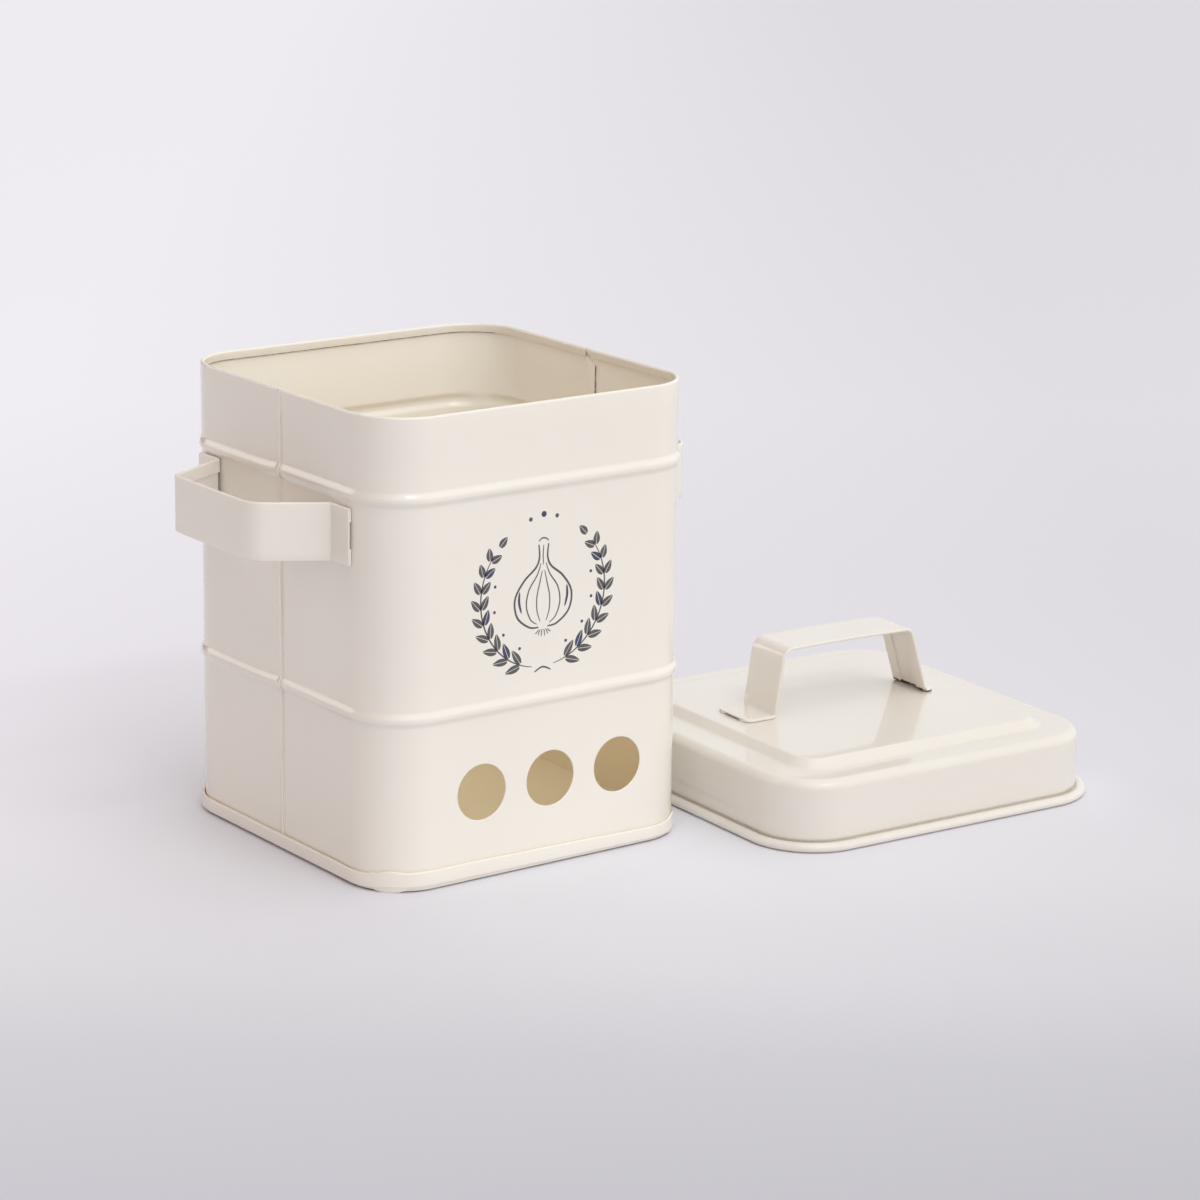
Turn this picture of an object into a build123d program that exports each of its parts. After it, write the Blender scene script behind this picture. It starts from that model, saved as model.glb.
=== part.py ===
"""Garlic keeper: a square sheet-steel canister with vent holes and a lift-off lid.

The canister is two half shells, lap-seamed on the left and right walls, and a base pan
double-seamed round their foot. Each half is the other turned by half a turn about Z, apart
from the vent holes in the front. Two strap handles are spot-welded over the side seams. The
lid is a pressed pan with a curled rim, with a third strap across its raised panel. It rests
on the table beside the canister, upright, as it is set down when the keeper is open.

Units are millimetres. The origin is the middle of the canister's underside, +Z is up, -Y is
the front with the vent holes.
"""

from build123d import *
import os
from math import asin, cos, degrees, radians, sin, sqrt

# ---------------------------------------------------------------- driving dimensions

# Canister
sheet = 0.5                 # thickness of the pressed sheet
body_size = 130.0           # outside width and depth of the walls
body_height = 162.3         # rim above the table
body_corner = 20.0          # outside radius of the upright corners

# Swaged beads round the walls
lower_bead_height = 59.7
upper_bead_height = 134.7
bead_width = 7.0
bead_rise = 1.4

# Open hem that folds the rim inwards
hem_thickness = 1.6
hem_height = 3.4

# Double seam round the base
chime_height = 6.6
seam_gap = 0.3              # left above the folded edges inside the seam
chime_edge_radius = 0.45

# Vent holes in the front wall
vent_count = 3
vent_diameter = 19.6
vent_pitch = 28.3
vent_height = 30.8
vent_shift = 2.6            # middle hole, to the right of the centre line

# Lap seams in the side walls
lap_shift = 1.5             # free edge of the outer sheet, from the centre line
lap_width = 5.0             # overlap under the outer sheet
joggle_length = 2.0         # ramp down to the overlap
tab_clearance = 0.4         # tab to the rim hem and to the base seam
tab_corner = 3.0

# Folded strap, the same for all three handles
strap_sheet = 0.6
strap_width = 20.0
strap_hem = 5.3             # edges folded flat against the inner face
fold_edge_radius = 0.5      # outer face, where the edges fold under
fold_radius = 1.8           # inner face, where a foot turns out of a leg

# Side handles
side_handle_height = 120.3  # middle of the strap
side_handle_shift = 2.0     # middle of the left handle, towards the back
side_handle_span = 69.6     # between the two places where the strap leaves the wall
side_handle_run = 45.6      # between the outer bends
side_handle_reach = 23.3    # inner face, from the wall
side_handle_foot = 12.9
side_handle_foot_corner = 0.8
side_handle_bend = 6.0

# Lid pan
lid_wall_size = 137.4
lid_corner = 21.5
lid_shoulder_height = 25.0
lid_shoulder_radius = 4.0
ledge_width = 14.4          # round the raised panel
panel_corner = 10.0
panel_rise = 3.0
panel_edge_radius = 1.6
panel_foot_radius = 1.1

# Rim of the lid, curled outwards into a closed roll
curl_width = 3.8            # from the wall's outer face
curl_height = 3.4

# Lid handle
lid_handle_span = 67.4
lid_handle_run = 55.0
lid_handle_reach = 25.2     # inner face, above the panel
lid_handle_foot = 11.5
lid_handle_foot_corner = 3.0
lid_handle_bend = 4.0
lid_handle_shift_x = 2.0
lid_handle_shift_y = 4.0
lid_handle_turn = -0.8       # degrees, off square with the lid

# Where the lid is set down
lid_x = 148.2
lid_y = -42.6
lid_turn = -2.7             # degrees about Z

# ---------------------------------------------------------------- derived sizes

wall_face = body_size / 2
chime_thickness = 3 * sheet
tab_bottom = chime_height + tab_clearance
tab_top = body_height - hem_height - tab_clearance

bead_radius = ((bead_width / 2) ** 2 + bead_rise**2) / (2 * bead_rise)

hem_radius = hem_thickness / 2
strap_thickness = 2 * strap_sheet

lid_plane = Plane(
    origin=(lid_x, lid_y, 0),
    x_dir=(cos(radians(lid_turn)), sin(radians(lid_turn)), 0),
    z_dir=(0, 0, 1),
)
lid_wall_face = lid_wall_size / 2
panel_size = lid_wall_size - 2 * ledge_width
curl_radius = curl_height / 2
lid_wall_foot = 1.5 * curl_height   # where the rim's section takes over from the pan's form
lid_panel_height = lid_shoulder_height + panel_rise


# ---------------------------------------------------------------- canister walls

def wall_plane(face, y, side):
    """Plane across the wall at y; local X points out of the wall, local Y is up."""
    return Plane(origin=(side * face, y, 0), x_dir=(side, 0, 0), z_dir=(0, -side, 0))


def rounded_square(half, radius):
    """Closed outline from the middle of the +X side, drawn as its front and back halves."""
    FilletPolyline((half, 0), (half, -half), (-half, -half), (-half, 0), radius=radius)
    FilletPolyline((-half, 0), (-half, half), (half, half), (half, 0), radius=radius)


def bead_arc(height, inset):
    """A bead on the face at this inset: an arc with the same centre at every inset."""
    radius = bead_radius - inset
    half = sqrt(radius**2 - (bead_radius - bead_rise - inset) ** 2)
    crown = (bead_rise - inset, height)
    ThreePointArc((-inset, height - half), crown, (-inset, height + half))
    return height - half, height + half


def wall_band(bottom, top, inset=0.0):
    """Section of the plain wall with its two beads, one sheet thick, inset from the outside."""
    with BuildSketch() as band:
        with BuildLine():
            for face in (inset, inset + sheet):
                start = bottom
                for height in (lower_bead_height, upper_bead_height):
                    foot, end = bead_arc(height, face)
                    Line((-face, start), (-face, foot))
                    start = end
                Line((-face, start), (-face, top))
            Line((-inset, bottom), (-inset - sheet, bottom))
            Line((-inset, top), (-inset - sheet, top))
        make_face()
    return band.sketch


def body_hook():
    """Section of the wall's foot, turned out and up inside the base seam."""
    hook_top = chime_height - sheet - seam_gap
    with BuildSketch() as hook:
        with BuildLine():
            Polyline(
                (-sheet, sheet),
                (2 * sheet, sheet),
                (2 * sheet, hook_top),
                (sheet, hook_top),
                (sheet, 2 * sheet),
                (0, 2 * sheet),
                (0, chime_height),
                (-sheet, chime_height),
                close=True,
            )
        make_face()
    return hook.sketch


def rim_hem():
    """Section of the rim, folded inwards and down into an open hem."""
    hem_bottom = body_height - hem_height
    roll_height = body_height - hem_radius
    with BuildSketch() as hem:
        with BuildLine():
            Line((0, hem_bottom), (0, roll_height))
            ThreePointArc((0, roll_height), (-hem_radius, body_height), (-hem_thickness, roll_height))
            Polyline(
                (-hem_thickness, roll_height),
                (-hem_thickness, hem_bottom),
                (sheet - hem_thickness, hem_bottom),
                (sheet - hem_thickness, roll_height),
                (-sheet, roll_height),
                (-sheet, hem_bottom),
                (0, hem_bottom),
            )
        make_face()
    return hem.sketch


def half_shell():
    """One half of the walls: the front one, from its right seam round to its left tab."""
    ramp_start = -lap_shift - joggle_length
    right = wall_plane(wall_face, lap_shift, 1)
    left = wall_plane(wall_face, ramp_start, -1)
    seam = wall_plane(wall_face, -lap_shift, -1)
    with BuildPart() as half:
        # walls round the three sides, foot and rim included
        with BuildLine() as round_path:
            FilletPolyline(
                (wall_face, lap_shift),
                (wall_face, -wall_face),
                (-wall_face, -wall_face),
                (-wall_face, ramp_start),
                radius=body_corner,
            )
        with BuildSketch(right):
            add(wall_band(chime_height, body_height - hem_height))
            add(body_hook())
            add(rim_hem())
        sweep(path=round_path.wire())
        # foot and rim run on past the ramp, up to the seam
        with BuildSketch(left):
            add(body_hook())
            add(rim_hem())
        extrude(amount=joggle_length, dir=(0, 1, 0))
        # wall between them, stepped inwards to a tab under the other half
        with BuildSketch(left):
            add(wall_band(tab_bottom, tab_top))
        with BuildSketch(seam):
            add(wall_band(tab_bottom, tab_top, inset=sheet))
        loft(ruled=True)
        with BuildSketch(seam):
            add(wall_band(tab_bottom, tab_top, inset=sheet))
        extrude(amount=lap_width, dir=(0, 1, 0))
        tab_corners = half.edges().filter_by(Axis.X).group_by(Axis.Y)[-1]
        chamfer(tab_corners, length=tab_corner)
    return half.part


with BuildPart() as front_shell:
    add(half_shell())
    with BuildSketch(Plane(origin=(vent_shift, -wall_face, vent_height), x_dir=(1, 0, 0), z_dir=(0, -1, 0))):
        with GridLocations(vent_pitch, vent_pitch, vent_count, 1):
            Circle(vent_diameter / 2)
    extrude(amount=-2 * sheet, both=True, mode=Mode.SUBTRACT)
front_shell.part.label = "front_shell"

with BuildPart() as rear_shell:
    add(half_shell(), rotation=(0, 0, 180))
rear_shell.part.label = "rear_shell"


# ---------------------------------------------------------------- base pan

with BuildPart() as base_pan:
    with BuildSketch():
        RectangleRounded(body_size, body_size, body_corner)
    extrude(amount=sheet)
    with BuildLine() as foot_path:
        rounded_square(wall_face, body_corner)
    with BuildSketch(wall_plane(wall_face, 0, 1)) as chime:
        with BuildLine():
            Polyline(
                (-sheet, 0),
                (chime_thickness, 0),
                (chime_thickness, chime_height),
                (0, chime_height),
                (0, 2 * sheet + seam_gap),
                (sheet, 2 * sheet + seam_gap),
                (sheet, chime_height - sheet),
                (chime_thickness - sheet, chime_height - sheet),
                (chime_thickness - sheet, sheet),
                (-sheet, sheet),
                close=True,
            )
        make_face()
        outer_corners = chime.vertices().group_by(Axis.X)[-1]
        fillet(outer_corners, radius=chime_edge_radius)
    sweep(path=foot_path.wire())
base_pan.part.label = "base_pan"


# ---------------------------------------------------------------- strap handles

def strap_section():
    """Folded strap; local X runs from the hems' face to the plain outer face."""
    hem_middle = strap_width / 2 - strap_hem / 2
    with BuildSketch() as section:
        with Locations((1.5 * strap_sheet, 0)):
            Rectangle(strap_sheet, strap_width)
        with Locations((strap_sheet, hem_middle), (strap_sheet, -hem_middle)):
            Rectangle(strap_thickness, strap_hem)
        outer_corners = section.vertices().group_by(Axis.X)[-1]
        fillet(outer_corners, radius=fold_edge_radius)
    return section.sketch


def strap_route(span, run, reach, foot, bend):
    """Inner face of a bowed strap: foot, leg, run, leg, foot. X is along it, Y away."""
    return FilletPolyline(
        (-span / 2 - foot, 0),
        (-span / 2, 0),
        (-run / 2, reach),
        (run / 2, reach),
        (span / 2, 0),
        (span / 2 + foot, 0),
        radius=[fold_radius, bend, bend, fold_radius],
    )


def strap_handle(base, span, run, reach, foot, foot_corner, bend):
    """Strap standing on the plane base: its local X is along the strap, local Z is away."""
    bow = Plane(origin=base.origin, x_dir=base.x_dir, z_dir=-base.y_dir)
    foot_end = base.origin - base.x_dir * (span / 2 + foot)
    across = Plane(origin=foot_end, x_dir=base.z_dir, z_dir=base.x_dir)
    with BuildPart() as strap:
        with BuildLine(bow) as route:
            strap_route(span, run, reach, foot, bend)
        with BuildSketch(across):
            add(strap_section())
        sweep(path=route.wire())
        # round the corners of the feet
        with BuildSketch(base):
            RectangleRounded(span + 2 * foot, strap_width, foot_corner)
        extrude(amount=reach + bend, mode=Mode.INTERSECT)
    return strap.part


left_wall = Plane(
    origin=(-wall_face, side_handle_shift, side_handle_height),
    x_dir=(0, 1, 0),
    z_dir=(-1, 0, 0),
)
side_strap = strap_handle(
    left_wall,
    side_handle_span,
    side_handle_run,
    side_handle_reach,
    side_handle_foot,
    side_handle_foot_corner,
    side_handle_bend,
)

with BuildPart() as left_handle:
    add(side_strap)
left_handle.part.label = "left_handle"

with BuildPart() as right_handle:
    add(side_strap, rotation=(0, 0, 180))
right_handle.part.label = "right_handle"


# ---------------------------------------------------------------- lid

def pan_form(inset):
    """Solid form of the lid pan above its rim, inset from the outside by the given amount."""
    shoulder = lid_shoulder_height - inset
    with BuildPart() as form:
        with BuildSketch(lid_plane.offset(lid_wall_foot)):
            RectangleRounded(lid_wall_size - 2 * inset, lid_wall_size - 2 * inset, lid_corner - inset)
        extrude(amount=shoulder - lid_wall_foot)
        shoulder_edges = form.faces().sort_by(Axis.Z)[-1].edges()
        fillet(shoulder_edges, radius=lid_shoulder_radius - inset)
        with BuildSketch(lid_plane.offset(shoulder)):
            RectangleRounded(panel_size - 2 * inset, panel_size - 2 * inset, panel_corner - inset)
        extrude(amount=panel_rise)
        panel_top = form.faces().sort_by(Axis.Z)[-1]
        fillet(panel_top.edges(), radius=panel_edge_radius - inset)
        ledge = form.faces().filter_by(Plane.XY).sort_by(Axis.Z)[-2]
        fillet(ledge.inner_wires().edges(), radius=panel_foot_radius + inset)
    return form.part


def lid_rim():
    """Section of the lid's rim: foot of the wall, turned out and rolled over back to the wall."""
    near_centre = curl_radius - sheet
    far_centre = curl_width - curl_radius
    crease_height = curl_radius + sqrt(curl_radius**2 - near_centre**2)
    crease_angle = degrees(asin((crease_height - curl_radius) / curl_radius))
    with BuildSketch() as rim:
        with BuildLine():
            Line((-sheet, lid_wall_foot), (-sheet, curl_radius))
            CenterArc((near_centre, curl_radius), curl_radius, 180, 90)
            Line((near_centre, 0), (far_centre, 0))
            CenterArc((far_centre, curl_radius), curl_radius, -90, 180)
            Line((far_centre, curl_height), (near_centre, curl_height))
            CenterArc((near_centre, curl_radius), curl_radius, 90, 90 - crease_angle)
            Polyline((0, crease_height), (0, lid_wall_foot), (-sheet, lid_wall_foot))
        make_face()
    return rim.sketch


with BuildPart() as lid_pan:
    add(pan_form(0))
    add(pan_form(sheet), mode=Mode.SUBTRACT)
    # wall foot and curl round the rim
    with BuildLine(lid_plane) as rim_path:
        rounded_square(lid_wall_face, lid_corner)
    rim_plane = Plane(
        origin=lid_plane.origin + lid_plane.x_dir * lid_wall_face,
        x_dir=lid_plane.x_dir,
        z_dir=-lid_plane.y_dir,
    )
    with BuildSketch(rim_plane):
        add(lid_rim())
    sweep(path=rim_path.wire())
lid_pan.part.label = "lid_pan"

lid_handle_turn_total = radians(lid_turn + lid_handle_turn)
lid_panel = Plane(
    origin=lid_plane.from_local_coords((lid_handle_shift_x, lid_handle_shift_y, lid_panel_height)),
    x_dir=(cos(lid_handle_turn_total), sin(lid_handle_turn_total), 0),
    z_dir=(0, 0, 1),
)
with BuildPart() as lid_handle:
    add(
        strap_handle(
            lid_panel,
            lid_handle_span,
            lid_handle_run,
            lid_handle_reach,
            lid_handle_foot,
            lid_handle_foot_corner,
            lid_handle_bend,
        )
    )
lid_handle.part.label = "lid_handle"


# ---------------------------------------------------------------- output

os.makedirs("parts", exist_ok=True)
export_step(front_shell.part, "parts/front_shell.step")
export_step(rear_shell.part, "parts/rear_shell.step")
export_step(base_pan.part, "parts/base_pan.step")
export_step(left_handle.part, "parts/left_handle.step")
export_step(right_handle.part, "parts/right_handle.step")
export_step(lid_pan.part, "parts/lid_pan.step")
export_step(lid_handle.part, "parts/lid_handle.step")
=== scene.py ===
"""Looks of the garlic keeper: cream-coated pressed steel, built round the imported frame.

Every coated piece is a fine mesh that stands for its CAD node: the two half shells with their
beads, hemmed rim and joggled side seams, the base pan with its double seam, the folded straps
and the lid pan with its rolled rim. The front wall carries a small generic print.

Lengths are millimetres up to the moment a mesh is made. In materials, in lamps and at the
camera they are metres.
"""

import math

import bmesh
import bpy
from mathutils import Matrix, Vector, noise


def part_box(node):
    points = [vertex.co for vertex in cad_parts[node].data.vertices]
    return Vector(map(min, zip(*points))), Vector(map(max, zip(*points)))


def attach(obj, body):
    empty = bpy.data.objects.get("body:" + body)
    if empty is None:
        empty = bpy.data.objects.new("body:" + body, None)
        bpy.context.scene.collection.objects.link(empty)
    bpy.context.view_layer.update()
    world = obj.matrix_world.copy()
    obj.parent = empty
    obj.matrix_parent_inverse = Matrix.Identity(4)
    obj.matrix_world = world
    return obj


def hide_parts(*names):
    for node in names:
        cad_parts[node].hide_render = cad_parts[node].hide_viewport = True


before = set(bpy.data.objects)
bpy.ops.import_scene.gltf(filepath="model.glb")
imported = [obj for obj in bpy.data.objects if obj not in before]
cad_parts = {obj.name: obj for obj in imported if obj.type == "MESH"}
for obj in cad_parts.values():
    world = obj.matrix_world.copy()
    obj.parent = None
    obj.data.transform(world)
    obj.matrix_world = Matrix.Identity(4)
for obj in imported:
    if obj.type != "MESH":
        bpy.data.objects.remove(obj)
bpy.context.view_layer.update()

MM = 0.001
X_AXIS, Y_AXIS, Z_AXIS = Vector((1, 0, 0)), Vector((0, 1, 0)), Vector((0, 0, 1))

# ---------------------------------------------------------------- sizes, in millimetres

SHEET = 0.5
WALL_FACE = 65.0
BODY_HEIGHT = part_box("front_shell")[1].z / MM
BODY_CORNER = 20.0
BODY_CORNER_STEPS = 22
WALL_STEP = 6.0             # between two rings of the plain wall
LEVEL_STEP = 9.0            # between two of its levels
BEAD_STEP = 0.3             # and between two levels of a bead

BEAD_HEIGHTS = (59.7, 134.5)
BEAD_HALF_WIDTH = 2.9
BEAD_CROWN = 0.3            # half width of a bead's level top
BEAD_RISE = 1.05
REAR_BEAD_DROP = 0.8        # the rear half's beads sit a little lower
REAR_BEAD_EASE = 12.0       # except beside the seams
REAR_BEAD_FADE = 0.85       # and the upper one is weaker round the corners, by this share

HEM_THICKNESS = 1.6
HEM_HEIGHT = 3.4
HEM_GAP = 0.2               # open line between the hem's end and the wall
HEM_TURN = 0.3              # radius of the fold's inner side
HEM_NOTCH_RISE = 1.4        # hem cut back beside the lap seam
HEM_NOTCH_LENGTH = 5.7
HEM_ROLL_STEPS, HEM_LIP_STEPS, HEM_TURN_STEPS = 10, 6, 4
HEM_POINTS = HEM_ROLL_STEPS + HEM_LIP_STEPS + 1 + HEM_TURN_STEPS

VENT_SHIFT = 2.6
VENT_PITCH = 28.3
VENT_HEIGHT = 30.8
VENT_RADIUS = 9.8
VENT_LIP = 0.18             # bevel on both sides of the sheet
VENT_STEPS = 72

LAP_LEFT = 1.7              # seam line in front of the middle, on the left wall
LAP_RIGHT = 1.5             # and behind it on the right one
LAP_WIDTH = 5.6
LAP_LIFT = 0.36             # the free edge stands up by this much
LAP_LIFT_RUN = 1.2          # and comes back down over this length
LAP_SINK = 0.17             # the wall beside it steps in by this much
LAP_SINK_RUN = (2.0, 0.7)   # between these distances from the seam
LAP_STEP = 0.12             # between two rings beside the seam
TAB_STEP = 0.5              # and behind it
TAB_TOP = 0.9               # the tab's top above the hem's lower edge
TAB_SLANT = 3.2             # how much lower it is at the tab's end
TAB_RAGGED = 0.16

STRAP_HEIGHT = 120.3
STRAP_SHIFT = 2.0           # side handles off the middle, the left one to the back
STRAP_SHEET = 0.6
STRAP_WIDTH = 20.0
STRAP_HEM_BEVEL = 0.12
STRAP_END_RUNS = (0.0, 0.06, 0.2, 0.45, 0.75, 1.0)      # shares of the end's corner radius
STRAP_STEP = 1.5
STRAP_BEND_STEPS = 12
STRAP_FOLD_STEPS = 8
FOOT_BEND = 1.8
LEFT_FOOT_SINK = 0.25       # the left strap's feet lie in the wall by this much

LID_HALF = 68.7
LID_CORNER = 21.5
LID_TURN = math.radians(-2.7)
LID_SHOULDER = 25.0
LID_SHOULDER_RADIUS = 3.4
LID_PANEL = 28.0
LID_LEDGE = 14.4
LID_GROOVE = ((0.8, 2.35), (0.75, 2.8), (0.6, 3.15), (0.35, 3.5), (0.13, 3.8), (0.03, 4.15))
LID_ROLL_CENTRE = (1.65, 1.7)
LID_ROLL_RADIUS = 2.13
LID_ROLL_END = 152          # degrees, past a full turn
PANEL_CORNER = 10.0
PANEL_SLOPE = 52            # degrees, of the step up to the panel
PANEL_FOOT = 2.4            # the step's foot and edge, from the middle of the ledge's border
PANEL_EDGE = 3.0
PANEL_FOOT_RADIUS = 2.5
PANEL_EDGE_RADIUS = 2.0
PANEL_CROWN = 0.25
LID_HANDLE_TURN = LID_TURN - math.radians(0.8)
LID_HANDLE_SHIFT = (3.0, 4.0)
LID_HANDLE_GAP = 0.15       # under its feet

SHARP_ANGLE = math.radians(32)
# the inside slot is painted bounce light; the last is the dark colour of uncoated sheet, also
# painted shade
COAT, INSIDE_BOUNCE, BARE_AND_SHADE = 0, 1, 2            # material slots of a piece
FLOOR_BAND = (2.0, 4.0)                 # an upward face between these heights is a floor


# ---------------------------------------------------------------- outlines

def rounded_path(corners, radius, extra):
    """Stations (point, outward normal, run) along an open path with rounded corners.

    The outside is on the left of the direction of travel. Extra runs are measured from the
    start, or from the end where they are negative.
    """
    pieces = []
    start = Vector(corners[0])
    for before, corner, after in zip(corners, corners[1:], corners[2:]):
        way_in = (Vector(corner) - Vector(before)).normalized()
        way_out = (Vector(after) - Vector(corner)).normalized()
        first = Vector(corner) - way_in * radius
        last = Vector(corner) + way_out * radius
        pieces.append(("line", start, first))
        pieces.append(("arc", first, way_in, way_out))
        start = last
    pieces.append(("line", start, Vector(corners[-1])))
    quarter = radius * math.pi / 2
    lengths = [(p[2] - p[1]).length if p[0] == "line" else quarter for p in pieces]
    total = sum(lengths)
    runs = set()
    begin = 0.0
    for piece, length in zip(pieces, lengths):
        steps = BODY_CORNER_STEPS if piece[0] == "arc" else max(2, int(length / WALL_STEP))
        runs.update(round(begin + length * k / steps, 4) for k in range(steps + 1))
        begin += length
    runs.update(round(e if e >= 0 else total + e, 4) for e in extra)
    stations = []
    for run in sorted(min(r, total) for r in runs):
        begin = 0.0
        for piece, length in zip(pieces, lengths):
            if run <= begin + length + 1e-6:
                break
            begin += length
        share = min(max((run - begin) / length, 0.0), 1.0)
        if piece[0] == "line":
            way = (piece[2] - piece[1]).normalized()
            point = piece[1].lerp(piece[2], share)
        else:
            angle = share * math.pi / 2
            way = piece[2] * math.cos(angle) + piece[3] * math.sin(angle)
            centre = piece[1] + piece[3] * radius
            point = centre - (piece[3] * math.cos(angle) - piece[2] * math.sin(angle)) * radius
        stations.append((point, Vector((-way.y, way.x)), run))
    return stations, total


def rounded_square(half, radius, side_steps, corner_steps):
    """Closed ring of plan points, counter-clockwise, always with the same number of points."""
    ring = []
    straight = half - radius
    for quarter in range(4):
        turn = Matrix.Rotation(quarter * math.pi / 2, 2)
        for k in range(side_steps):
            ring.append(turn @ Vector((half, -straight + 2 * straight * k / side_steps)))
        for k in range(corner_steps):
            angle = math.pi / 2 * k / corner_steps
            ring.append(turn @ Vector((straight + radius * math.cos(angle),
                                       straight + radius * math.sin(angle))))
    return ring


def arc(centre, radius, start, end, steps, squeeze=1.0):
    """Points on an arc between two angles in degrees; squeeze flattens it upright."""
    points = []
    for k in range(steps + 1):
        angle = math.radians(start + (end - start) * k / steps)
        points.append((centre[0] + radius * math.cos(angle),
                       centre[1] + radius * squeeze * math.sin(angle)))
    return points


def spread(start, end, step):
    """Values from start to end, both included, no further apart than step."""
    steps = max(1, math.ceil(abs(end - start) / step - 1e-9))
    return [start + (end - start) * k / steps for k in range(steps + 1)]


def smooth(value, start, end):
    """0 before start, 1 after end, a smooth step between."""
    share = min(max((value - start) / (end - start), 0.0), 1.0)
    return share * share * (3 - 2 * share)


# ---------------------------------------------------------------- meshes

def loft(bm, rings, close_rings=False, close_points=True):
    """Skin of quads over rings of points with equal counts, capped unless the rings close."""
    rows = [[bm.verts.new(Vector(p) * MM) for p in ring] for ring in rings]
    count = len(rows[0])
    last = len(rows) if close_rings else len(rows) - 1
    for i in range(last):
        a, b = rows[i], rows[(i + 1) % len(rows)]
        for j in range(count if close_points else count - 1):
            k = (j + 1) % count
            bm.faces.new((a[j], a[k], b[k], b[j]))
    if not close_rings:
        bm.faces.new(list(reversed(rows[0])))
        bm.faces.new(rows[-1])
    return rows


def finish_piece(name, bm, material, body, stands_for=None, bounce_lit=False):
    """Turns a bmesh into a named piece that rides on its body and stands for its node.

    Where asked, the piece wears the inside coat on its inward faces below the hem of the rim,
    and on its floor: a brighter, warmer copy of the cream coat, painted bounce light.
    """
    bmesh.ops.remove_doubles(bm, verts=bm.verts, dist=1e-7)
    bmesh.ops.recalc_face_normals(bm, faces=bm.faces)
    if bounce_lit:
        for face in bm.faces:
            centre = face.calc_center_median()
            inward = -face.normal.xy.dot(centre.xy.normalized())
            floor_side = face.normal.z > 0.9 and FLOOR_BAND[0] * MM < centre.z < FLOOR_BAND[1] * MM
            if face.material_index == COAT and centre.z < (BODY_HEIGHT - HEM_HEIGHT) * MM \
                    and (inward > 0.3 or floor_side):
                face.material_index = INSIDE_BOUNCE
    mesh = bpy.data.meshes.new(name)
    bm.to_mesh(mesh)
    bm.free()
    mesh.polygons.foreach_set("use_smooth", [True] * len(mesh.polygons))
    mesh.set_sharp_from_angle(angle=SHARP_ANGLE)
    for layer in (material, inside_bounce_coat, cut_edge_and_shade):
        mesh.materials.append(layer)
    piece = bpy.data.objects.new(name, mesh)
    bpy.context.scene.collection.objects.link(piece)
    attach(piece, body)
    if stands_for:
        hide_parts(stands_for)
    return piece


# ---------------------------------------------------------------- nodes

def new_material(name):
    """A node material: itself, its nodes, its links, its shader and its place on the piece."""
    material = bpy.data.materials.new(name)
    material.use_nodes = True
    nodes, links = material.node_tree.nodes, material.node_tree.links
    place = nodes.new("ShaderNodeTexCoord").outputs["Object"]
    return material, nodes, links, nodes["Principled BSDF"], place


def speckle(nodes, links, place, scale, detail=2.0):
    """Noise that is fixed to the piece."""
    node = nodes.new("ShaderNodeTexNoise")
    node.inputs["Scale"].default_value = scale
    node.inputs["Detail"].default_value = detail
    links.new(place, node.inputs["Vector"])
    return node.outputs["Fac"]


def ramp(nodes, links, value, stops):
    """value as a colour, by (position, colour) stops."""
    node = nodes.new("ShaderNodeValToRGB")
    elements = node.color_ramp.elements
    while len(elements) < len(stops):
        elements.new(0.5)
    for element, (position, colour) in zip(elements, stops):
        element.position = position
        element.color = (*colour, 1)
    links.new(value, node.inputs["Fac"])
    return node.outputs["Color"]


def graded(nodes, links, value, start, end, low=0.0, high=1.0):
    """value between start and end, carried over to between low and high."""
    node = nodes.new("ShaderNodeMapRange")
    for socket, number in (("From Min", start), ("From Max", end),
                           ("To Min", low), ("To Max", high)):
        node.inputs[socket].default_value = number
    links.new(value, node.inputs["Value"])
    return node.outputs["Result"]


def distance_along(nodes, links, vector, way):
    """How far vector goes along way."""
    node = nodes.new("ShaderNodeVectorMath")
    node.operation = "DOT_PRODUCT"
    node.inputs[1].default_value = way
    links.new(vector, node.inputs[0])
    return node.outputs["Value"]


# ---------------------------------------------------------------- materials

COAT_ROUGHNESS = 0.34
COAT_ROUGHNESS_SWING = 0.03
COAT_TONES = (0.985, 1.01)      # shares of the colour between which the tone wanders
WARM_SHADE_HEIGHTS = (0.04, 0.13)    # the painted warm shade is full below and gone above


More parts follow.
